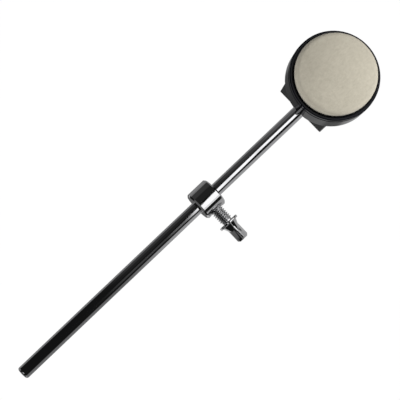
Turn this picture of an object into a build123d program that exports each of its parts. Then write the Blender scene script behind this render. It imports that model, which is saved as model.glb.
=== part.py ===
from build123d import *
import math
import os

# Bass drum pedal beater: a steel rod that carries a two-sided head, with a lock collar that
# slides on the rod and is held by a square-headed key screw.
#
# Frame: +Z runs up the rod, from its free lower end to the head. -Y is the padded side of the
# head, +Y its hard side. The key screw stands out along +X. The origin is the centre of the
# rod's lower end. Millimetres.
#
# In the head, "front" is a distance from the rod's axis towards the padded side (-Y), so a
# negative front lies on the hard side.

# ---- driving dimensions ----
ROD_DIAMETER = 8.0
HEAD_Z = 252.4              # height of the head's striking axis
ROD_TOP_Z = 258.0           # upper end of the rod, inside the head

COLLAR_Z = 147.9            # mid-height of the lock collar
COLLAR_DIAMETER = 18.8
COLLAR_LENGTH = 14.4

PAD_RADIUS = 24.9
PLATE_RADIUS = 27.3
CUP_RADIUS = 27.5
BLOCK_WIDTH = 35.6          # hard striking block, across its back face
BLOCK_HEIGHT = 41.6

# ---- rod ----
ROD_RADIUS = ROD_DIAMETER / 2
ROD_TIP_ROUND = 1.4         # rounded lower end
ROD_TOP_CHAMFER = 0.8

# ---- lock collar and key screw, a 5/16 inch by 18 thread ----
RUNNING_GAP = 0.05          # radial clearance of the collar on the rod
COLLAR_BEVEL = 0.9
THREAD_PITCH = 1.411
THREAD_RADIUS = 3.97
THREAD_ROOT_RADIUS = 3.10
THREAD_GAP = 0.06           # radial clearance of the screw in the collar
THREAD_CREST = 0.18         # width of the flat on each crest
THREAD_ROOT = 0.35          # width of the flat at each root
HOLE_COUNTERSINK = 0.5
SCREW_TIP_GAP = 0.3         # the screw's tip stands this far off the rod
SCREW_TIP_CHAMFER = 0.7
EXPOSED_THREAD = 9.1        # between the collar and the flange
THREAD_RELIEF = 0.7         # plain neck under the flange
FLANGE_RADIUS = 6.5
FLANGE_THICKNESS = 1.7
FLANGE_ROUND = 0.6
NECK_RADIUS = 5.0           # foot of the flared neck, on the flange
NECK_TOP_RADIUS = 2.8       # the flare ends just inside the square
NECK_LENGTH = 5.5
KEY_SQUARE = 5.9            # across the flats
KEY_CORNER_ROUND = 0.35
KEY_LENGTH = 12.2           # from the flange to the end of the square
KEY_END_CHAMFER = 1.5

# ---- head: fronts of its faces, from the rod's axis ----
BLOCK_BACK = -22.0          # hard striking face
CUP_BACK = 0.0
CUP_FLOOR = 10.7
CUP_FRONT = 14.2
PLATE_BACK = 11.5
PAD_SEAT = 15.1
PLATE_FRONT = 17.3          # front of the plate's raised rim
PAD_BACK = 15.9
PAD_EDGE_FRONT = 26.6
PAD_CROWN_FRONT = 28.4
BLOCK_DRAFT = math.radians(0.5)
BLOCK_ROUND = 0.6
CUP_WALL = 2.7
SEAM_BEVEL = 0.45           # each side of the seam between plate and cup
SPIGOT_GAP = 0.2
RIM_WIDTH = 1.9
RIM_ROUND = 0.6
PAD_EDGE_ROUND = 3.5
ADHESIVE_RADIUS = 24.0
SOCKET_GAP = 0.02           # radial, between the rod and its socket in the head
SOCKET_TOP_GAP = 0.3
BOSS_RADIUS = 8.5           # round boss where the rod enters the block
BOSS_DROP = 2.2
BOSS_ROUND = 0.8

# ---- spring pin that holds the head on the rod ----
PIN_Z = 240.0
PIN_RADIUS = 1.5
PIN_BORE_RADIUS = 0.85
PIN_SLIT = 0.5
PIN_FRONT = 7.5
PIN_BACK = -21.4
PIN_HOLE_FRONT = 8.0

# ---- countersunk screws that hold the pad plate in the cup ----
PLATE_SCREWS = 3
PLATE_SCREW_CIRCLE = 15.0
PLATE_SCREW_RADIUS = 1.65
PLATE_SCREW_HEAD_RADIUS = 3.1
PLATE_SCREW_POINT_FRONT = 5.0
PLATE_SCREW_POINT_LENGTH = 1.5
PLATE_SCREW_RECESS = 1.1    # depth of the cross recess
PLATE_SCREW_RECESS_WIDTH = 0.8
PLATE_SCREW_RECESS_SPAN = 3.2
SCREW_HOLE_GAP = 0.02
SCREW_BOSS_RADIUS = 3.6

# Places and axes shared by several pieces.
STRIKE_PLANE = Plane(origin=(0, 0, HEAD_Z), x_dir=(1, 0, 0), z_dir=(0, -1, 0))
STRIKE_AXIS = Axis((0, 0, HEAD_Z), (0, -1, 0))
# Half sections of the head's round pieces: x is the radius, y the front.
HEAD_SECTION = Plane(origin=(0, 0, HEAD_Z), x_dir=(1, 0, 0), z_dir=(0, 0, -1))
# Half sections of the key screw: x is the distance from the rod's axis, y the radius.
SCREW_SECTION = Plane(origin=(0, 0, COLLAR_Z), x_dir=(1, 0, 0), z_dir=(0, -1, 0))
SCREW_AXIS = Axis((0, 0, COLLAR_Z), (1, 0, 0))
COLLAR_RADIUS = COLLAR_DIAMETER / 2

os.makedirs("parts", exist_ok=True)


def save(piece, name):
    """Label a finished piece and write it."""
    piece.part.label = name
    export_step(piece.part, f"parts/{name}.step")


# ---------------------------------------------------------------- rod
with BuildPart() as rod:
    with BuildSketch(Plane.XY):
        Circle(ROD_RADIUS)
    extrude(amount=ROD_TOP_Z)
    fillet(rod.edges().group_by(Axis.Z)[0], radius=ROD_TIP_ROUND)
    chamfer(rod.edges().group_by(Axis.Z)[-1], length=ROD_TOP_CHAMFER)
    # Cross hole for the spring pin.
    with BuildSketch(Plane(origin=(0, 0, PIN_Z), z_dir=(0, -1, 0))):
        Circle(PIN_RADIUS)
    extrude(amount=ROD_RADIUS * 2, both=True, mode=Mode.SUBTRACT)
save(rod, "rod")

# ---------------------------------------------------------------- lock collar
with BuildPart() as lock_collar:
    with BuildSketch(Plane.XY.offset(COLLAR_Z - COLLAR_LENGTH / 2)):
        Circle(COLLAR_RADIUS)
        Circle(ROD_RADIUS + RUNNING_GAP, mode=Mode.SUBTRACT)
    extrude(amount=COLLAR_LENGTH)
    outer_ends = lock_collar.edges().filter_by(GeomType.CIRCLE).group_by(SortBy.RADIUS)[-1]
    chamfer(outer_ends, length=COLLAR_BEVEL)
    # Threaded hole for the key screw, with a small countersink at its mouth.
    with BuildSketch(SCREW_SECTION):
        hole_radius = THREAD_RADIUS + THREAD_GAP
        with BuildLine():
            Polyline(
                (0, 0),
                (0, hole_radius),
                (COLLAR_RADIUS - 2 * HOLE_COUNTERSINK, hole_radius),
                (COLLAR_RADIUS, hole_radius + 2 * HOLE_COUNTERSINK),
                (COLLAR_RADIUS + 1, hole_radius + 2 * HOLE_COUNTERSINK),
                (COLLAR_RADIUS + 1, 0),
                close=True,
            )
        make_face()
    revolve(axis=SCREW_AXIS, mode=Mode.SUBTRACT)
save(lock_collar, "lock_collar")

# ---------------------------------------------------------------- key screw
SCREW_TIP = ROD_RADIUS + SCREW_TIP_GAP
FLANGE_START = COLLAR_RADIUS + EXPOSED_THREAD
FLANGE_END = FLANGE_START + FLANGE_THICKNESS
KEY_END = FLANGE_END + KEY_LENGTH
THREAD_END = FLANGE_START - THREAD_RELIEF
THREAD_TURNS = int((THREAD_END - SCREW_TIP - SCREW_TIP_CHAMFER) / THREAD_PITCH)


def thread_outline():
    """Half section of the threaded shank, from its tip to the flange."""
    rise = (THREAD_PITCH - THREAD_CREST - THREAD_ROOT) / 2
    points = [(SCREW_TIP, 0), (SCREW_TIP, THREAD_ROOT_RADIUS - SCREW_TIP_CHAMFER)]
    points.append((SCREW_TIP + SCREW_TIP_CHAMFER, THREAD_ROOT_RADIUS))
    first = THREAD_END - THREAD_TURNS * THREAD_PITCH
    for turn in range(THREAD_TURNS):
        start = first + turn * THREAD_PITCH + THREAD_ROOT / 2
        points.append((start, THREAD_ROOT_RADIUS))
        points.append((start + rise, THREAD_RADIUS))
        points.append((start + rise + THREAD_CREST, THREAD_RADIUS))
        points.append((start + 2 * rise + THREAD_CREST, THREAD_ROOT_RADIUS))
    points.append((FLANGE_START + FLANGE_THICKNESS / 2, THREAD_ROOT_RADIUS))
    points.append((FLANGE_START + FLANGE_THICKNESS / 2, 0))
    return points


# Square for a drum key, one corner facing the padded side. Its end is turned to a cone.
with BuildPart() as key_square:
    square_start = FLANGE_START + FLANGE_THICKNESS / 2
    with BuildSketch(Plane(origin=(square_start, 0, COLLAR_Z), z_dir=(1, 0, 0))) as square_section:
        Rectangle(KEY_SQUARE, KEY_SQUARE, rotation=45)
        fillet(square_section.vertices(), radius=KEY_CORNER_ROUND)
    extrude(amount=KEY_END - square_start)
    with BuildSketch(SCREW_SECTION):
        half_diagonal = KEY_SQUARE / math.sqrt(2)
        with BuildLine():
            Polyline(
                (square_start, 0),
                (square_start, half_diagonal),
                (KEY_END - KEY_END_CHAMFER, half_diagonal),
                (KEY_END, half_diagonal - KEY_END_CHAMFER),
                (KEY_END, 0),
                close=True,
            )
        make_face()
    revolve(axis=SCREW_AXIS, mode=Mode.INTERSECT)

with BuildPart() as key_screw:
    with BuildSketch(SCREW_SECTION):
        with BuildLine():
            Polyline(*thread_outline(), close=True)
        make_face()
    revolve(axis=SCREW_AXIS)
    # Flange, in one piece with the screw.
    with BuildSketch(Plane(origin=(FLANGE_START, 0, COLLAR_Z), z_dir=(1, 0, 0))):
        Circle(FLANGE_RADIUS)
    extrude(amount=FLANGE_THICKNESS)
    rims = key_screw.edges().filter_by(GeomType.CIRCLE).group_by(SortBy.RADIUS)[-1]
    fillet(rims, radius=FLANGE_ROUND)
    # Neck that flares from the square down to the flange.
    with BuildSketch(SCREW_SECTION):
        with BuildLine():
            flare = ThreePointArc(
                (FLANGE_END, NECK_RADIUS),
                (FLANGE_END + 0.36 * NECK_LENGTH, 0.83 * NECK_RADIUS),
                (FLANGE_END + NECK_LENGTH, NECK_TOP_RADIUS),
            )
            Polyline(flare @ 1, (FLANGE_END + NECK_LENGTH, 0), (square_start, 0))
            Polyline((square_start, 0), (square_start, NECK_RADIUS), flare @ 0)
        make_face()
    revolve(axis=SCREW_AXIS)
    add(key_square.part)
save(key_screw, "key_screw")


def plate_screw_places():
    """Centres of the plate screws on the striking plane, one of them straight up."""
    return PolarLocations(PLATE_SCREW_CIRCLE, PLATE_SCREWS, start_angle=90)


# ---------------------------------------------------------------- head body
with BuildPart() as head_body:
    # Hard striking block, drafted so that it grows towards the cup.
    block_depth = CUP_BACK - BLOCK_BACK
    growth = 2 * block_depth * math.tan(BLOCK_DRAFT)
    with BuildSketch(STRIKE_PLANE.offset(BLOCK_BACK)):
        Rectangle(BLOCK_WIDTH, BLOCK_HEIGHT)
    with BuildSketch(STRIKE_PLANE.offset(CUP_BACK)):
        Rectangle(BLOCK_WIDTH + growth, BLOCK_HEIGHT + growth)
    loft()
    long_edges = head_body.edges().group_by(Axis.Y)[1:-1]
    back_edges = head_body.edges().group_by(Axis.Y)[-1]
    fillet([edge for group in long_edges for edge in group] + list(back_edges), radius=BLOCK_ROUND)
    # Round cup in front of the block.
    with BuildSketch(STRIKE_PLANE.offset(CUP_BACK)):
        Circle(CUP_RADIUS)
    extrude(amount=CUP_FRONT - CUP_BACK)
    rims = head_body.edges().filter_by(GeomType.CIRCLE).filter_by(lambda e: e.radius > CUP_RADIUS - 0.1)
    chamfer(rims.sort_by(Axis.Y)[0], length=SEAM_BEVEL)
    # Round boss under the block, about the rod.
    boss_bottom = HEAD_Z - BLOCK_HEIGHT / 2 - BOSS_DROP
    with BuildSketch(Plane.XZ):
        with BuildLine():
            Polyline((BOSS_RADIUS - BOSS_ROUND, boss_bottom), (0, boss_bottom), (0, HEAD_Z))
            Polyline((0, HEAD_Z), (BOSS_RADIUS, HEAD_Z), (BOSS_RADIUS, boss_bottom + BOSS_ROUND))
            RadiusArc(
                (BOSS_RADIUS, boss_bottom + BOSS_ROUND),
                (BOSS_RADIUS - BOSS_ROUND, boss_bottom),
                BOSS_ROUND,
            )
        make_face()
    revolve(axis=Axis.Z)
    # Hollow of the cup, with a boss left standing for each plate screw.
    with BuildSketch(STRIKE_PLANE.offset(CUP_FRONT)):
        Circle(CUP_RADIUS - CUP_WALL)
    extrude(amount=CUP_FLOOR - CUP_FRONT, mode=Mode.SUBTRACT)
    with BuildSketch(STRIKE_PLANE.offset(CUP_FLOOR)):
        with plate_screw_places():
            Circle(SCREW_BOSS_RADIUS)
    extrude(amount=PLATE_BACK - CUP_FLOOR)
    with BuildSketch(STRIKE_PLANE.offset(PLATE_BACK)):
        with plate_screw_places():
            Circle(PLATE_SCREW_RADIUS + SCREW_HOLE_GAP)
    extrude(amount=PLATE_SCREW_POINT_FRONT - PLATE_BACK - 0.2, mode=Mode.SUBTRACT)
    # Socket for the rod, and the hole for the spring pin.
    with BuildSketch(Plane.XY.offset(HEAD_Z - BLOCK_HEIGHT)):
        Circle(ROD_RADIUS + SOCKET_GAP)
    extrude(amount=ROD_TOP_Z + SOCKET_TOP_GAP - HEAD_Z + BLOCK_HEIGHT, mode=Mode.SUBTRACT)
    with BuildSketch(Plane(origin=(0, -BLOCK_BACK, PIN_Z), z_dir=(0, -1, 0))):
        Circle(PIN_RADIUS)
    extrude(amount=PIN_HOLE_FRONT - BLOCK_BACK, mode=Mode.SUBTRACT)
save(head_body, "head_body")

# ---------------------------------------------------------------- spring pin
with BuildPart() as head_pin:
    pin_length = PIN_FRONT - PIN_BACK
    with BuildSketch(Plane(origin=(0, -PIN_BACK, PIN_Z), x_dir=(1, 0, 0), z_dir=(0, -1, 0))):
        Circle(PIN_RADIUS)
        Circle(PIN_BORE_RADIUS, mode=Mode.SUBTRACT)
        with Locations((PIN_RADIUS, 0)):
            Rectangle(2 * PIN_RADIUS, PIN_SLIT, mode=Mode.SUBTRACT)
    extrude(amount=pin_length)
save(head_pin, "head_pin")

# ---------------------------------------------------------------- pad plate
with BuildPart() as pad_plate:
    with BuildSketch(HEAD_SECTION):
        spigot_radius = CUP_RADIUS - CUP_WALL - SPIGOT_GAP
        with BuildLine():
            Polyline(
                (0, PLATE_BACK),
                (spigot_radius, PLATE_BACK),
                (spigot_radius, CUP_FRONT),
                (PLATE_RADIUS - SEAM_BEVEL, CUP_FRONT),
                (PLATE_RADIUS, CUP_FRONT + SEAM_BEVEL),
                (PLATE_RADIUS, PLATE_FRONT),
                (PLATE_RADIUS - RIM_WIDTH, PLATE_FRONT),
                (PLATE_RADIUS - RIM_WIDTH, PAD_SEAT),
                (0, PAD_SEAT),
                close=True,
            )
        make_face()
    revolve(axis=STRIKE_AXIS)
    fillet(pad_plate.edges().group_by(Axis.Y)[0], radius=RIM_ROUND)
    # Countersunk holes for the plate screws.
    with Locations(STRIKE_PLANE.offset(PAD_SEAT)):
        with plate_screw_places():
            CounterSinkHole(
                radius=PLATE_SCREW_RADIUS + SCREW_HOLE_GAP,
                counter_sink_radius=PLATE_SCREW_HEAD_RADIUS + SCREW_HOLE_GAP,
                depth=PAD_SEAT - PLATE_BACK,
                counter_sink_angle=90,
            )
save(pad_plate, "pad_plate")

# ---------------------------------------------------------------- plate screws
# One screw, its head's face at Z = 0 and its point towards -Z.
with BuildPart() as plate_screw:
    point_z = PLATE_SCREW_POINT_FRONT - PAD_SEAT
    shank_top_z = PLATE_SCREW_RADIUS - PLATE_SCREW_HEAD_RADIUS
    with BuildSketch(Plane.XZ):
        with BuildLine():
            Polyline(
                (0, point_z),
                (PLATE_SCREW_RADIUS / 4, point_z),
                (PLATE_SCREW_RADIUS, point_z + PLATE_SCREW_POINT_LENGTH),
                (PLATE_SCREW_RADIUS, shank_top_z),
                (PLATE_SCREW_HEAD_RADIUS, 0),
                (0, 0),
                close=True,
            )
        make_face()
    revolve(axis=Axis.Z)
    # Cross recess.
    with BuildSketch(Plane.XY):
        Rectangle(PLATE_SCREW_RECESS_SPAN, PLATE_SCREW_RECESS_WIDTH)
        Rectangle(PLATE_SCREW_RECESS_WIDTH, PLATE_SCREW_RECESS_SPAN)
    extrude(amount=-PLATE_SCREW_RECESS, mode=Mode.SUBTRACT)

with BuildPart() as plate_screws:
    with Locations(STRIKE_PLANE.offset(PAD_SEAT)):
        with plate_screw_places():
            add(plate_screw.part)
save(plate_screws, "plate_screws")

# ---------------------------------------------------------------- adhesive disc
with BuildPart() as adhesive_disc:
    with BuildSketch(STRIKE_PLANE.offset(PAD_SEAT)):
        Circle(ADHESIVE_RADIUS)
    extrude(amount=PAD_BACK - PAD_SEAT)
save(adhesive_disc, "adhesive_disc")

# ---------------------------------------------------------------- pad
with BuildPart() as felt_pad:
    with BuildSketch(HEAD_SECTION):
        flat_radius = PAD_RADIUS - PAD_EDGE_ROUND
        with BuildLine():
            Polyline((0, PAD_CROWN_FRONT), (0, PAD_BACK), (PAD_RADIUS, PAD_BACK))
            Line((PAD_RADIUS, PAD_BACK), (PAD_RADIUS, PAD_EDGE_FRONT - PAD_EDGE_ROUND))
            RadiusArc(
                (PAD_RADIUS, PAD_EDGE_FRONT - PAD_EDGE_ROUND),
                (flat_radius, PAD_EDGE_FRONT),
                -PAD_EDGE_ROUND,
            )
            # Shallow crown, level at its middle.
            crown_rise = PAD_CROWN_FRONT - PAD_EDGE_FRONT
            crown_radius = (flat_radius**2 + crown_rise**2) / (2 * crown_rise)
            RadiusArc((flat_radius, PAD_EDGE_FRONT), (0, PAD_CROWN_FRONT), -crown_radius)
        make_face()
    revolve(axis=STRIKE_AXIS)
save(felt_pad, "felt_pad")
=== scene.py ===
import math

import bmesh
import bpy
from mathutils import Matrix, Vector, noise


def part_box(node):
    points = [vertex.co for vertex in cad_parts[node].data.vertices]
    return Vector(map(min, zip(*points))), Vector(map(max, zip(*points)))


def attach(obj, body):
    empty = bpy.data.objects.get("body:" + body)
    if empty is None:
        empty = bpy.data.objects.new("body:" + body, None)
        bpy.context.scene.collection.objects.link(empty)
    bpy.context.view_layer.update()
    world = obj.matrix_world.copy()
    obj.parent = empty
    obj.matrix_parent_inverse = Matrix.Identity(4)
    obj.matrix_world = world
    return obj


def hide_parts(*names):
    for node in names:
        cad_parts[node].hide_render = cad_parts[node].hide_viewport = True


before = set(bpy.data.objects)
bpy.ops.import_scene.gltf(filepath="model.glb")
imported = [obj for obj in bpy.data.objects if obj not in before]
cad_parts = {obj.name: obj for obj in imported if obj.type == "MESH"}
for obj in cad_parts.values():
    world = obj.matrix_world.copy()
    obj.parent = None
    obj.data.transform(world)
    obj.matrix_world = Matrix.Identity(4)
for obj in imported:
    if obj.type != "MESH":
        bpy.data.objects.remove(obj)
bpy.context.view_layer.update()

scene = bpy.context.scene
scene.view_settings.view_transform = "Standard"


# ---------------------------------------------------------------- small helpers
def feed(tree, socket, value):
    """Sets a socket to a value, or links it to another node's output."""
    if isinstance(value, bpy.types.NodeSocket):
        tree.links.new(value, socket)
    else:
        socket.default_value = value


class Shader:
    """A material's node tree, with short ways to add nodes to it."""

    def __init__(self, name):
        self.material = bpy.data.materials.new(name)
        self.material.use_nodes = True
        self.tree = self.material.node_tree
        self.surface = self.tree.nodes["Principled BSDF"]
        self.place = self.node("ShaderNodeTexCoord").outputs["Object"]

    def node(self, kind, inputs=(), **settings):
        made = self.tree.nodes.new(kind)
        for key, value in settings.items():
            setattr(made, key, value)
        for key, value in dict(inputs).items():
            feed(self.tree, made.inputs[key], value)
        return made

    def set(self, **values):
        """Sets sockets of the surface shader, with _ for the spaces in their names."""
        for key, value in values.items():
            feed(self.tree, self.surface.inputs[key.replace("_", " ")], value)

    def stretched(self, scale):
        """The place on the object, scaled along each axis."""
        inputs = {"Vector": self.place, "Scale": scale}
        return self.node("ShaderNodeMapping", inputs).outputs["Vector"]

    def noise(self, scale, detail=2.0, roughness=0.5, vector=None):
        inputs = {
            "Vector": vector or self.place,
            "Scale": scale,
            "Detail": detail,
            "Roughness": roughness,
        }
        return self.node("ShaderNodeTexNoise", inputs).outputs["Fac"]

    def fit(self, value, low, high, to_low, to_high):
        """Maps a value from one range to another, held at both ends."""
        inputs = {
            "Value": value,
            "From Min": low,
            "From Max": high,
            "To Min": to_low,
            "To Max": to_high,
        }
        return self.node("ShaderNodeMapRange", inputs).outputs["Result"]

    def blend(self, factor, first, second):
        """Mixes two colours: the node has its factor, A and B at inputs 0, 6 and 7."""
        mixed = self.node("ShaderNodeMix", {0: factor, 6: first, 7: second}, data_type="RGBA")
        return mixed.outputs[2]

    def bump(self, height, distance, strength=1.0, normal=None):
        inputs = {"Height": height, "Distance": distance, "Strength": strength}
        if normal:
            inputs["Normal"] = normal
        return self.node("ShaderNodeBump", inputs).outputs["Normal"]


def paint(obj, shader):
    """Gives every material slot of an object one material."""
    if not obj.material_slots:
        obj.data.materials.append(shader.material)
    for place in obj.material_slots:
        place.material = shader.material


def add_object(name, data):
    made = bpy.data.objects.new(name, data)
    scene.collection.objects.link(made)
    return made


def mesh_object(name, shape):
    """Turns a bmesh into an object, and frees it."""
    mesh = bpy.data.meshes.new(name)
    shape.to_mesh(mesh)
    shape.free()
    return add_object(name, mesh)


def finished_object(name, shape, sharp=math.pi):
    """A smooth-shaded object. Edges that turn more than the angle sharp stay crisp."""
    bmesh.ops.recalc_face_normals(shape, faces=shape.faces)
    for face in shape.faces:
        face.smooth = True
    for edge in shape.edges:
        edge.smooth = edge.calc_face_angle(0.0) < sharp
    return mesh_object(name, shape)


def evaluated_mesh(obj):
    """A copy of an object's mesh with its modifiers applied."""
    graph = bpy.context.evaluated_depsgraph_get()
    graph.update()
    return bpy.data.meshes.new_from_object(obj.evaluated_get(graph))


def apply_modifiers(obj):
    result = evaluated_mesh(obj)
    obj.modifiers.clear()
    old, obj.data = obj.data, result
    bpy.data.meshes.remove(old)


# ---------------------------------------------------------------- materials
ALONG_ROD = (1.0, 1.0, 0.02)        # polishing marks drawn out along the rod
ALONG_SCREW = (0.1, 1.0, 1.0)
EVERY_WAY = (1.0, 1.0, 1.0)

ROD_CHROME = (0.78, 0.78, 0.80, 1)
COLLAR_CHROME = (0.78, 0.78, 0.79, 1)
SCREW_CHROME = (0.77, 0.77, 0.78, 1)
HEAD_BLACK = (0.0040, 0.0043, 0.0056, 1)
HEAD_BLACK_WORN = (0.0080, 0.0083, 0.0100, 1)
PLATE_BLACK = (0.0022, 0.0024, 0.0045, 1)
PLATE_BLACK_WORN = (0.0045, 0.0050, 0.0080, 1)
HEAD_GLOSS, PLATE_GLOSS = 0.23, 0.16
PIN_STEEL = (0.45, 0.45, 0.46, 1)
PLATE_SCREW_STEEL = (0.3, 0.3, 0.31, 1)
FELT_GREY = (0.500, 0.464, 0.376, 1)
FELT_PALE = (0.560, 0.520, 0.424, 1)
FELT_CLUMP = (0.42, 0.385, 0.305, 1)
FELT_FIBRE = (0.64, 0.60, 0.50, 1)


def chrome(name, colour, grain):
    """Bright plating, with faint polishing marks drawn out as grain says."""
    s = Shader(name)
    marks = s.noise(900.0, 3.0, 0.6, s.stretched(grain))
    polish = s.fit(s.noise(60.0, 3.0), 0.35, 0.7, 0.03, 0.075)
    s.set(Base_Color=colour, Metallic=1.0, Roughness=polish)
    s.set(Normal=s.bump(marks, 0.000004, 0.6))
    return s


def black_plastic(name, colour, worn_colour, gloss):
    """Glossy moulded plastic: faint orange peel, and rubbed patches that shine a little less."""
    s = Shader(name)
    peel = s.noise(520.0)
    rubbed = s.fit(s.noise(150.0, 4.0, 0.65), 0.35, 0.75, 0.0, 1.0)
    s.set(
        Base_Color=s.blend(rubbed, colour, worn_colour),
        Roughness=s.fit(rubbed, 0.0, 1.0, 0.07, 0.13),
        Specular_IOR_Level=gloss,
        Normal=s.bump(peel, 0.00002, 0.4),
    )
    return s


def felt(name):
    """Short-napped beige felt: matted fibres, small clumps and slow changes of tone."""
    s = Shader(name)
    nap = s.noise(3600.0, 3.0, 0.7)
    clump = s.noise(420.0, 4.0, 0.6)
    stain = s.fit(s.noise(60.0, 3.0, 0.55), 0.3, 0.7, 0.0, 1.0)
    drawn_out = s.stretched((1.0, 1.0, 0.25))
    fibre = s.fit(s.noise(1500.0, 2.0, 0.6, drawn_out), 0.35, 0.7, 0.0, 0.4)
    tone = s.blend(stain, FELT_GREY, FELT_PALE)
    tone = s.blend(s.fit(clump, 0.35, 0.65, 0.0, 0.4), tone, FELT_CLUMP)
    s.set(
        Base_Color=s.blend(fibre, tone, FELT_FIBRE),
        Roughness=0.95,
        Sheen_Weight=0.12,
        Sheen_Roughness=0.5,
        Normal=s.bump(nap, 0.00010, 0.5, s.bump(clump, 0.00022, 0.35)),
    )
    return s


def steel(name, colour):
    """Plain dull steel."""
    s = Shader(name)
    marks = s.noise(1500.0, 3.0)
    s.set(Base_Color=colour, Metallic=1.0, Roughness=s.fit(marks, 0.3, 0.7, 0.25, 0.45))
    return s


NODE_MATERIALS = {
    "rod": chrome("chrome_rod", ROD_CHROME, ALONG_ROD),
    "lock_collar": chrome("chrome_collar", COLLAR_CHROME, EVERY_WAY),
    "head_body": black_plastic("plastic_head", HEAD_BLACK, HEAD_BLACK_WORN, HEAD_GLOSS),
    "pad_plate": black_plastic("plastic_plate", PLATE_BLACK, PLATE_BLACK_WORN, PLATE_GLOSS),
    "head_pin": steel("steel_pin", PIN_STEEL),
    "plate_screws": steel("steel_plate_screws", PLATE_SCREW_STEEL),
    "adhesive_disc": felt("adhesive_sheet"),
}
for node_name, shader in NODE_MATERIALS.items():
    paint(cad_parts[node_name], shader)


# ---------------------------------------------------------------- felt pad
PAD_VOXEL = 0.0009
PAD_SLACK = 0.0003              # the pad is made this much small, and swells
PAD_SIDE_GROWTH = 0.0002        # but not so much at its side, which swells less
PAD_EDGE_ROUND = 0.0035
PAD_CROWN = 0.0032
PAD_PULL_IN = 0.0005            # how far the side pulls in towards the back
PAD_SEGMENTS = 96
PAD_FACE_RINGS = 10
PAD_EDGE_RINGS = 8
PAD_SIDE_RINGS = 4
PAD_BACK_SHARES = (0.8, 0.55, 0.3)      # rings of the back, as shares of the radius

PAD_HELD_DEPTH = 0.0022         # the back of the pad, which is glued down
PAD_MOST_SWELL = 0.0005
SWELL_FRAMES = 20
CLOTH_SETTINGS = {
    "quality": 6,
    "mass": 0.15,
    "tension_stiffness": 12.0,
    "compression_stiffness": 12.0,
    "bending_stiffness": 0.6,
    "use_pressure": True,
    "uniform_pressure_force": 4.0,
}

LUMP_SCALE, LUMP_HEIGHT = 260.0, 0.00007
FIBRE_SCALE, FIBRE_HEIGHT = 1300.0, 0.00006
FIBRE_SHIFT = Vector((7.0, 3.0, 1.0))
NAP_START, NAP_FADE = 0.0004, 0.0008    # distance from the back where the nap begins and grows


def pad_outline(low, high):
    """Radius and y of the pad's rings, from the middle of its front round to its back."""
    radius = (high.x - low.x) / 2 - PAD_SLACK + PAD_SIDE_GROWTH
    back, front = high.y, low.y + PAD_SLACK
    edge_front = front + PAD_CROWN
    flat = radius - PAD_EDGE_ROUND
    outline = []
    for k in range(1, PAD_FACE_RINGS + 1):
        outline.append((flat * k / PAD_FACE_RINGS, front + PAD_CROWN * (k / PAD_FACE_RINGS) ** 2))
    for k in range(1, PAD_EDGE_RINGS + 1):
        turn = math.radians(90 * k / PAD_EDGE_RINGS)
        y = edge_front + PAD_EDGE_ROUND * (1 - math.cos(turn))
        outline.append((flat + PAD_EDGE_ROUND * math.sin(turn), y))
    for k in range(1, PAD_SIDE_RINGS + 1):
        along = k / PAD_SIDE_RINGS
        y = edge_front + PAD_EDGE_ROUND + (back - edge_front - PAD_EDGE_ROUND) * along
        outline.append((radius - PAD_PULL_IN * along**2, y))
    outline += [(radius * share, back) for share in PAD_BACK_SHARES]
    return outline, front, back


def pad_surface(low, high):
    """Closed crowned disc that faces -Y: its outline, revolved."""
    outline, front, back = pad_outline(low, high)
    centre = (low + high) / 2
    turns = [2 * math.pi * k / PAD_SEGMENTS for k in range(PAD_SEGMENTS)]
    shape = bmesh.new()
    rings = []
    for radius, y in outline:
        rings.append([
            shape.verts.new((centre.x + radius * math.cos(t), y, centre.z + radius * math.sin(t)))
            for t in turns
        ])
    for first, second in zip(rings, rings[1:]):
        for k in range(PAD_SEGMENTS):
            shape.faces.new((first[k - 1], first[k], second[k], second[k - 1]))
    for ring, y in ((rings[0], front), (rings[-1], back)):
        hub = shape.verts.new((centre.x, y, centre.z))
        for k in range(PAD_SEGMENTS):
            shape.faces.new((hub, ring[k - 1], ring[k]))
    return shape


def swell(pad, back):
    """Puffs the pad with a short cloth simulation, held at its back and limited in its travel."""
    at_rest = [vertex.co.copy() for vertex in pad.data.vertices]
    held = pad.vertex_groups.new(name="held")
    glued = [k for k, place in enumerate(at_rest) if place.y > back - PAD_HELD_DEPTH]
    held.add(glued, 1.0, "REPLACE")
    cloth = pad.modifiers.new("cloth", "CLOTH")
    for key, value in CLOTH_SETTINGS.items():
        setattr(cloth.settings, key, value)
    cloth.settings.vertex_group_mass = "held"
    cloth.settings.effector_weights.gravity = 0.0
    cloth.point_cache.frame_start, cloth.point_cache.frame_end = 1, SWELL_FRAMES
    for frame_number in range(1, SWELL_FRAMES + 1):
        scene.frame_set(frame_number)
    moved = evaluated_mesh(pad)
    pad.modifiers.clear()
    pad.vertex_groups.clear()
    for vertex, start, result in zip(pad.data.vertices, at_rest, moved.vertices):
        travel = result.co - start
        if travel.length > PAD_MOST_SWELL:
            travel = travel.normalized() * PAD_MOST_SWELL
        vertex.co = start + travel
    bpy.data.meshes.remove(moved)
    scene.frame_set(1)


def raise_nap(pad, back):
    """Matted nap: small lumps and a fine fibre pattern, only on the faces that stand free."""
    shape = bmesh.new()
    shape.from_mesh(pad.data)
    shape.normal_update()
    moves = []
    for vertex in shape.verts:
        place = vertex.co
        free = min(1.0, max(0.0, (back - NAP_START - place.y) / NAP_FADE))
        lumps = noise.noise(place * LUMP_SCALE) * LUMP_HEIGHT
        nap = noise.noise(place * FIBRE_SCALE + FIBRE_SHIFT) * FIBRE_HEIGHT
        moves.append((vertex, vertex.normal * (free * (lumps + nap))))
    for vertex, move in moves:
        vertex.co += move
        vertex.co.y = min(vertex.co.y, back)
    shape.to_mesh(pad.data)
    shape.free()


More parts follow.
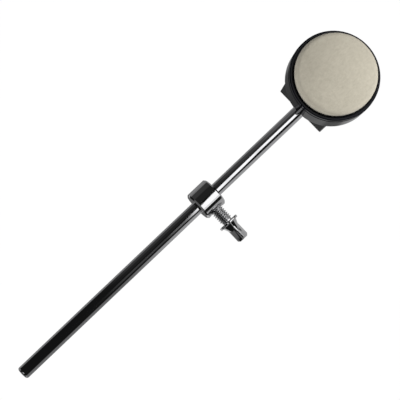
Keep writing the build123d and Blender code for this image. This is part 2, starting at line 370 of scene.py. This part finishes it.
def make_pad():
    low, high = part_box("felt_pad")
    pad = finished_object("felt_striking_pad", pad_surface(low, high))
    remesh = pad.modifiers.new("remesh", "REMESH")
    remesh.mode = "VOXEL"
    remesh.voxel_size = PAD_VOXEL
    apply_modifiers(pad)
    swell(pad, high.y)
    smooth = pad.modifiers.new("smooth", "SMOOTH")
    smooth.factor = 0.5
    smooth.iterations = 3
    finer = pad.modifiers.new("finer", "SUBSURF")
    finer.levels = finer.render_levels = 1
    apply_modifiers(pad)
    raise_nap(pad, high.y)
    for polygon in pad.data.polygons:
        polygon.use_smooth = True
    paint(pad, felt("felt_cloth"))
    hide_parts("felt_pad")
    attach(pad, "beater")


make_pad()


# ---------------------------------------------------------------- key screw
THREAD_PITCH = 0.001411
THREAD_ROOT_RADIUS = 0.00310
THREAD_CREST_RADIUS = 0.00397
THREAD_FADE = 0.6           # pitches over which the thread fades in and out
THREAD_RELIEF = 0.0007      # plain length between the thread and the flange
# The thread over one pitch, with rounded root and crest: place along it, and share of its depth.
THREAD_PROFILE = [
    (0.00, 0.00), (0.08, 0.00), (0.13, 0.03), (0.30, 0.38), (0.47, 0.80), (0.53, 0.94),
    (0.575, 1.00), (0.65, 1.00), (0.695, 0.94), (0.755, 0.80), (0.90, 0.30), (0.97, 0.05),
]
SCREW_TIP_CHAMFER = 0.0007
FLANGE_RADIUS = 0.0065
FLANGE_THICKNESS = 0.0017
FLANGE_ROUND = 0.0006
FLANGE_ROUND_STEPS = 5
NECK_RADIUS = 0.0050
NECK_TOP_RADIUS = 0.0028
NECK_LENGTH = 0.0055
NECK_STEPS = 16
FLARE_POWER = 1.15
KEY_LENGTH = 0.0122         # neck and square together
KEY_SQUARE = 0.0059
KEY_CORNER_ROUND = 0.0008
KEY_END_CHAMFER = 0.0015
# Angles each side of a corner of the square, in degrees, closest together in its round.
KEY_CORNER_OFFSETS = (0.0, 1.0, 2.0, 3.0, 3.8, 6.0, 9.0, 13.0, 18.0, 24.0, 31.0, 38.0)
SCREW_SHARP_ANGLE = math.radians(48)
WELD_DISTANCE = 0.0000002


def square_radius(turn):
    """Radius of the rounded square at an angle from one of its corners, in radians."""
    off = abs((turn + math.pi / 4) % (math.pi / 2) - math.pi / 4)
    half = KEY_SQUARE / 2
    end_of_round = math.pi / 4 - math.atan2(half - KEY_CORNER_ROUND, half)
    if off >= end_of_round:
        return half / math.cos(math.pi / 4 - off)
    corner = (half - KEY_CORNER_ROUND) * math.sqrt(2)
    beyond = math.sqrt(max(0.0, KEY_CORNER_ROUND**2 - (corner * math.sin(off)) ** 2))
    return corner * math.cos(off) + beyond


def flare_radius(share):
    """Radius of the flared neck, from 0 at the flange to 1 at its top."""
    return NECK_TOP_RADIUS + (NECK_RADIUS - NECK_TOP_RADIUS) * (1 - share) ** FLARE_POWER


def flare_end_share(radius):
    """Where on the neck the flare comes down to a radius."""
    if radius >= NECK_RADIUS:
        return 0.0
    height = (radius - NECK_TOP_RADIUS) / (NECK_RADIUS - NECK_TOP_RADIUS)
    return 1 - height ** (1 / FLARE_POWER)


def screw_turns():
    """Angles round the screw, close together at the square's corners."""
    degrees = set()
    for corner in (0, 90, 180, 270):
        for offset in KEY_CORNER_OFFSETS:
            degrees.update({(corner + offset) % 360, (corner - offset) % 360})
        degrees.add(corner + 45.0)
    return [math.radians(value) for value in sorted(degrees)]


def thread_rows(turns, start, end):
    """The thread's profile wound as a helix. It fades in at start and out at end."""
    depth = THREAD_CREST_RADIUS - THREAD_ROOT_RADIUS
    first_turn = int((start - end) / THREAD_PITCH) - 1
    rows = []
    for whole in range(first_turn, 2):
        for share, height in THREAD_PROFILE:
            places = []
            for turn in turns:
                x = end + (whole + share + turn / (2 * math.pi) - 1) * THREAD_PITCH
                inside = min(x - start, end - x) / (THREAD_FADE * THREAD_PITCH)
                fade = min(1.0, max(0.0, inside))
                held = min(max(x, start), end)
                places.append((held, THREAD_ROOT_RADIUS + depth * height * fade))
            rows.append(places)
    return rows


def flange_rows(count, start, end):
    """The flange, with both its rims rounded."""
    rows = []
    for k in range(FLANGE_ROUND_STEPS + 1):
        turn = math.radians(90 * k / FLANGE_ROUND_STEPS)
        radius = FLANGE_RADIUS - FLANGE_ROUND * (1 - math.sin(turn))
        rows.append([(start + FLANGE_ROUND * (1 - math.cos(turn)), radius)] * count)
    for k in range(FLANGE_ROUND_STEPS + 1):
        turn = math.radians(90 * k / FLANGE_ROUND_STEPS)
        radius = FLANGE_RADIUS - FLANGE_ROUND * (1 - math.cos(turn))
        rows.append([(end - FLANGE_ROUND * (1 - math.sin(turn)), radius)] * count)
    return rows


def key_rows(turns, start, end):
    """A flare from the flange that each side of the square grows out of, and the square."""
    rows = []
    for k in range(NECK_STEPS + 1):
        places = []
        for turn in turns:
            share = (k / NECK_STEPS) * flare_end_share(square_radius(turn))
            places.append((start + share * NECK_LENGTH, flare_radius(share)))
        rows.append(places)
    half_diagonal = KEY_SQUARE / math.sqrt(2)
    cone_start = end - KEY_END_CHAMFER
    radii = [square_radius(turn) for turn in turns]
    rows.append([(cone_start + half_diagonal - radius, radius) for radius in radii])
    rows.append([(end, half_diagonal - KEY_END_CHAMFER)] * len(turns))
    return rows


def skin_rows(shape, rows, helix_start, helix_end):
    """Joins rows of vertices with faces. The rows from helix_start to helix_end are a helix."""
    for number in range(len(rows) - 1):
        near, far = rows[number], rows[number + 1]
        for k in range(1, len(near)):
            shape.faces.new((near[k - 1], near[k], far[k], far[k - 1]))
        # Once round a helix comes back one whole pitch further on.
        next_near, next_far = near, far
        if helix_start <= number < helix_end:
            next_near = rows[min(number + len(THREAD_PROFILE), helix_end)]
            next_far = rows[min(number + 1 + len(THREAD_PROFILE), helix_end)]
        corners = []
        for corner in (near[-1], next_near[0], next_far[0], far[-1]):
            if corner not in corners:
                corners.append(corner)
        if len(corners) > 2:
            shape.faces.new(corners)


def make_key_screw():
    low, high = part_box("key_screw")
    axis_z = (low.z + high.z) / 2
    tip, end = low.x, high.x
    flange_start = end - KEY_LENGTH - FLANGE_THICKNESS
    flange_end = flange_start + FLANGE_THICKNESS
    thread_start = tip + SCREW_TIP_CHAMFER
    thread_end = flange_start - THREAD_RELIEF
    turns = screw_turns()
    count = len(turns)

    # Each row of the surface has a place along the screw and a radius for each angle round it.
    outline = [
        [(tip, THREAD_ROOT_RADIUS - SCREW_TIP_CHAMFER)] * count,
        [(thread_start, THREAD_ROOT_RADIUS)] * count,
    ]
    helix_start = len(outline)
    outline += thread_rows(turns, thread_start, thread_end)
    helix_end = len(outline) - 1
    outline += [[(x, THREAD_ROOT_RADIUS)] * count for x in (thread_end, flange_start)]
    outline += flange_rows(count, flange_start, flange_end)
    outline += key_rows(turns, flange_end, end)

    # An angle of 0 faces -Y, and a growing angle turns right-handed about +X.
    shape = bmesh.new()
    rows = []
    for places in outline:
        rows.append([
            shape.verts.new((x, -radius * math.cos(turn), axis_z - radius * math.sin(turn)))
            for turn, (x, radius) in zip(turns, places)
        ])
    skin_rows(shape, rows, helix_start, helix_end)
    for row, x in ((rows[0], tip), (rows[-1], end)):
        hub = shape.verts.new((x, 0.0, axis_z))
        for k in range(count):
            shape.faces.new((hub, row[k - 1], row[k]))
    bmesh.ops.remove_doubles(shape, verts=shape.verts, dist=WELD_DISTANCE)
    bmesh.ops.dissolve_degenerate(shape, edges=shape.edges, dist=WELD_DISTANCE)
    screw = finished_object("key_screw_threaded", shape, SCREW_SHARP_ANGLE)
    paint(screw, chrome("chrome_screw_thread", SCREW_CHROME, ALONG_SCREW))
    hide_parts("key_screw")
    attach(screw, "screw")


make_key_screw()


# ---------------------------------------------------------------- studio
STUDIO_DIM = 0.008          # brightness between the panels
STUDIO_MATT_SHARE = 0.12    # share of the panels' light that falls on matt surfaces
# Panels of the studio, in degrees: left azimuth and how it changes for each degree up, the same
# for the right, low and high elevation, softness of the sides and of the ends. Then brightness.
# A later panel covers an earlier one. Azimuth is 0 towards -Y and 90 towards +X.
STUDIO_PANELS = [
    (-190.0, 0.0, -140.0, 0.0, -60.0, 6.0, 5.0, 3.0, 0.13),     # behind, left
    (-190.0, 0.0, -140.0, 0.0, 6.0, 75.0, 5.0, 3.0, 0.26),
    (140.0, 0.0, 190.0, 0.0, 5.0, 75.0, 5.0, 3.0, 0.45),        # behind, right
    (140.0, 0.0, 190.0, 0.0, -5.0, 5.0, 5.0, 2.0, 0.22),
    (140.0, 0.0, 190.0, 0.0, -60.0, -5.0, 5.0, 2.0, 0.45),
    (-140.0, 0.0, -110.0, 0.0, -12.0, 70.0, 6.0, 3.0, 0.25),    # left
    (-112.0, 0.0, -97.0, 0.0, -12.0, 70.0, 2.0, 3.0, 0.19),
    (-97.0, 0.0, -48.0, 0.0, 9.0, 12.0, 4.0, 1.0, 0.055),
    (-97.0, 0.0, -48.0, 0.0, 12.0, 70.0, 4.0, 1.0, 0.11),
    (-48.0, 0.0, -10.0, 0.0, 9.0, 70.0, 4.0, 3.0, 0.035),
    (-95.0, 0.0, -52.0, 0.0, 2.0, 9.0, 3.0, 1.0, 0.042),
    (-54.0, 0.0, -8.0, 0.0, 2.0, 9.0, 8.0, 1.0, 0.017),
    (75.0, 0.0, 140.0, 0.0, 3.0, 70.0, 3.0, 2.0, 0.38),         # right
    (77.0, 0.0, 140.0, 0.0, -14.0, 3.0, 4.0, 3.0, 0.17),
    (14.0, 0.0, 46.0, 0.0, 1.5, 5.5, 4.0, 1.0, 0.055),          # in front, below the key panel
    (17.0, 0.0, 50.0, 0.0, 5.5, 6.8, 3.0, 0.4, 0.14),
    (22.0, 0.0, 50.0, 0.0, 6.8, 7.1, 3.0, 0.3, 0.4),
    (13.5, -6.0, 54.0, -2.0, 7.1, 9.5, 1.0, 0.35, 1.28),        # key panel
    (42.0, 0.0, 46.0, 0.0, 7.1, 9.5, 0.6, 0.35, 0.70),
    (46.0, 0.0, 54.0, 0.0, 7.1, 9.5, 0.8, 0.35, 0.95),
    (0.9, -2.8, 49.0, -6.5, 9.5, 11.6, 1.0, 0.35, 1.28),
    (-5.3, 0.0, 34.0, 0.0, 11.6, 75.0, 1.0, 0.35, 1.28),
    (57.0, 0.0, 80.0, 0.0, 7.0, 9.2, 1.0, 0.35, 0.01),          # dark gap beside it
    (-125.0, 0.0, -65.0, 0.0, -34.0, -12.0, 6.0, 3.0, 0.30),    # pale floor to the left
    (68.0, 0.0, 125.0, 0.0, -34.0, -13.0, 6.0, 3.0, 0.35),      # and to the right
    (-14.0, 0.0, 24.0, 0.0, -27.0, -11.0, 3.0, 2.0, 0.70),      # and in front
    (-190.0, 0.0, -140.0, 0.0, -45.0, -22.0, 6.0, 2.0, 0.60),   # and behind
    (140.0, 0.0, 190.0, 0.0, -45.0, -22.0, 6.0, 2.0, 0.60),
    (-190.0, 0.0, 190.0, 0.0, 75.0, 95.0, 1.0, 4.0, 0.39),      # overhead
    (-190.0, 0.0, 190.0, 0.0, -95.0, -60.0, 1.0, 4.0, 0.12),    # below
]

LIGHT_OFFSET = Vector((0.25, -0.24, 0.34))      # from the pad's centre
LIGHT_SIZE, LIGHT_POWER = 0.2, 2.55
BACKDROP_RADIUS = 5.0
FLOOR_HEIGHT, FLOOR_RADIUS = -0.1, 3.0
FLOOR_SEGMENTS = 96
FLOOR_GREY_WITHIN, FLOOR_WHITE_BEYOND = 0.25, 0.6   # the floor fades into the backdrop
FLOOR_GLOW = 0.35
BLACK, WHITE = (0, 0, 0, 1), (1, 1, 1, 1)


def studio_world():
    """Surroundings for light and reflections: dim, with soft panels. The camera doesn't see it."""
    world = bpy.data.worlds.new("studio")
    scene.world = world
    world.use_nodes = True
    tree = world.node_tree
    background = tree.nodes["Background"]

    def maths(operation, first, second=0.0, third=0.0):
        made = tree.nodes.new("ShaderNodeMath")
        made.operation = operation
        for socket, value in zip(made.inputs, (first, second, third)):
            feed(tree, socket, value)
        return made.outputs[0]

    def step(value, edge, softness):
        """0 below the edge and 1 above it."""
        made = tree.nodes.new("ShaderNodeMapRange")
        made.interpolation_type = "SMOOTHSTEP"
        feed(tree, made.inputs["Value"], maths("SUBTRACT", value, edge))
        feed(tree, made.inputs["From Min"], -softness)
        feed(tree, made.inputs["From Max"], softness)
        return made.outputs["Result"]

    def between(value, low, high, softness):
        return maths("SUBTRACT", step(value, low, softness), step(value, high, softness))

    direction = tree.nodes.new("ShaderNodeTexCoord").outputs["Generated"]
    split = tree.nodes.new("ShaderNodeSeparateXYZ")
    feed(tree, split.inputs[0], direction)
    x, y, z = split.outputs
    azimuth = maths("DEGREES", maths("ARCTAN2", x, maths("MULTIPLY", y, -1.0)))
    elevation = maths("DEGREES", maths("ARCSINE", z))
    light = STUDIO_DIM
    for left, left_lean, right, right_lean, low, high, side_soft, end_soft, level in STUDIO_PANELS:
        rise = maths("SUBTRACT", elevation, low)
        left_side = maths("MULTIPLY_ADD", rise, left_lean, left)
        right_side = maths("MULTIPLY_ADD", rise, right_lean, right)
        across = between(azimuth, left_side, right_side, side_soft)
        upright = between(elevation, low, high, end_soft)
        mask = maths("MULTIPLY", across, upright)
        light = maths("ADD", maths("MULTIPLY", maths("SUBTRACT", level, light), mask), light)
    # The panels give shiny surfaces their reflections, and matt ones only a part of their light.
    rays = tree.nodes.new("ShaderNodeLightPath")
    matt = maths("MULTIPLY_ADD", rays.outputs["Is Diffuse Ray"], STUDIO_MATT_SHARE - 1.0, 1.0)
    feed(tree, background.inputs["Strength"], maths("MULTIPLY", light, matt))
    background.inputs["Color"].default_value = WHITE
    world.cycles_visibility.camera = False


def white_backdrop():
    """A large glowing sphere that only the camera sees."""
    shape = bmesh.new()
    bmesh.ops.create_icosphere(shape, subdivisions=3, radius=BACKDROP_RADIUS)
    made = mesh_object("backdrop", shape)
    for ray in ("diffuse", "glossy", "transmission", "volume_scatter", "shadow"):
        setattr(made, "visible_" + ray, False)
    s = Shader("white_backdrop")
    s.set(Base_Color=BLACK, Emission_Color=WHITE, Emission_Strength=1.0)
    paint(made, s)


def pale_floor():
    """A pale matt floor, which glows towards its rim so that it runs into the backdrop."""
    shape = bmesh.new()
    bmesh.ops.create_circle(shape, cap_ends=True, segments=FLOOR_SEGMENTS, radius=FLOOR_RADIUS)
    made = mesh_object("floor", shape)
    made.location.z = FLOOR_HEIGHT
    made.visible_glossy = False
    s = Shader("pale_floor")
    away = s.node("ShaderNodeVectorMath", {0: s.place}, operation="LENGTH").outputs["Value"]
    far = s.fit(away, FLOOR_GREY_WITHIN, FLOOR_WHITE_BEYOND, 0.0, 1.0)
    grain = s.fit(s.noise(40.0, 4.0), 0.3, 0.7, 0.88, 0.93)
    grey = s.node("ShaderNodeCombineColor", {0: grain, 1: grain, 2: grain}).outputs[0]
    s.set(
        Base_Color=s.blend(far, grey, BLACK),
        Roughness=0.9,
        Emission_Color=WHITE,
        Emission_Strength=s.fit(far, 0.0, 1.0, FLOOR_GLOW, 1.0),
    )
    paint(made, s)


def area_light(name, place, target, size, power):
    """A square light that points at target, and that shiny surfaces don't reflect."""
    data = bpy.data.lights.new(name, "AREA")
    data.shape = "SQUARE"
    data.size = size
    data.energy = power
    made = add_object(name, data)
    made.location = place
    made.rotation_mode = "QUATERNION"
    made.rotation_quaternion = (target - place).to_track_quat("-Z", "Y")
    made.visible_camera = False
    made.visible_glossy = False


studio_world()
white_backdrop()
pale_floor()
pad_low, pad_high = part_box("felt_pad")
pad_centre = (pad_low + pad_high) / 2
area_light("soft_light_right", pad_centre + LIGHT_OFFSET, pad_centre, LIGHT_SIZE, LIGHT_POWER)


# ---------------------------------------------------------------- camera
CAMERA_PLACE = Vector((0.0214, -0.6631, 0.0543))
CAMERA_AIM = Vector((-0.0022, 0.0, 0.1449))
CAMERA_ROLL = math.radians(46.49)       # so that the rod runs from corner to corner
CAMERA_LENS, CAMERA_SENSOR = 101.4, 36.0

camera_data = bpy.data.cameras.new("camera")
camera_data.sensor_width = CAMERA_SENSOR
camera_data.lens = CAMERA_LENS
camera_data.clip_start, camera_data.clip_end = 0.05, 20.0
camera = add_object("camera", camera_data)
scene.camera = camera
camera.location = CAMERA_PLACE
camera.rotation_mode = "QUATERNION"
look = (CAMERA_AIM - CAMERA_PLACE).to_track_quat("-Z", "Y")
camera.rotation_quaternion = look @ Matrix.Rotation(CAMERA_ROLL, 3, "Z").to_quaternion()
